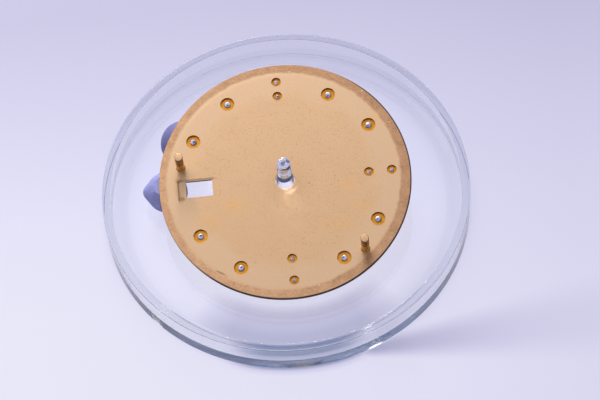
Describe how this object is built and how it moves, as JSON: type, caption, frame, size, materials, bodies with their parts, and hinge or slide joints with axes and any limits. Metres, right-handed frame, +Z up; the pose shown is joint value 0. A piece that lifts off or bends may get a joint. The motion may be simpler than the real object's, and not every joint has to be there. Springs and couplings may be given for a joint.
{
  "type": "watch dial on a pegged display dish",
  "caption": "Gilt watch dial lying back side up on the peg of a clear round dish, propped by putty so that its feet and riveted marker stems show.",
  "frame": {"origin": "centre of the dish's flat underside, on the table", "axes": "+Z up along the peg, +Y towards the dial's 12 o'clock, -X towards its date window"},
  "size_m": [0.041, 0.041, 0.0093],
  "materials": {
    "clear_plastic": "clear polished moulding",
    "putty": "soft matt putty",
    "gilt_plate": "fine matt gilding, granular rim band",
    "gilt_feet": "bright drawn wire",
    "silver_settings": "polished white metal",
    "stones": "faceted clear stone"
  },
  "bodies": {
    "holder": {"dish": "clear_plastic", "centre_peg": "clear_plastic"},
    "putty": {"putty_left": "putty", "putty_far": "putty"},
    "dial": {"dial_plate": "gilt_plate", "dial_foot_near_3": "gilt_feet", "dial_foot_near_7": "gilt_feet", "round_setting_1": "silver_settings", "round_setting_2": "silver_settings", "round_setting_4": "silver_settings", "round_setting_5": "silver_settings", "round_setting_7": "silver_settings", "round_setting_8": "silver_settings", "round_setting_10": "silver_settings", "round_setting_11": "silver_settings", "round_stone_1": "stones", "round_stone_2": "stones", "round_stone_4": "stones", "round_stone_5": "stones", "round_stone_7": "stones", "round_stone_8": "stones", "round_stone_10": "stones", "round_stone_11": "stones", "long_setting_6": "silver_settings", "long_setting_9": "silver_settings", "long_stone_6": "stones", "long_stone_9": "stones", "marker_12": "silver_settings"}
  },
  "joints": [
    {"name": "lift_off", "type": "slide", "parent": "holder", "child": "putty", "axis": [0, 0, 1], "range_m": [0, 0.008]},
    {"name": "dial_turn", "type": "hinge", "parent": "putty", "child": "dial", "pos_m": [0, 0, 0.00532], "axis": [-0.0149, -0.1488, 0.9888], "continuous": true}
  ]
}
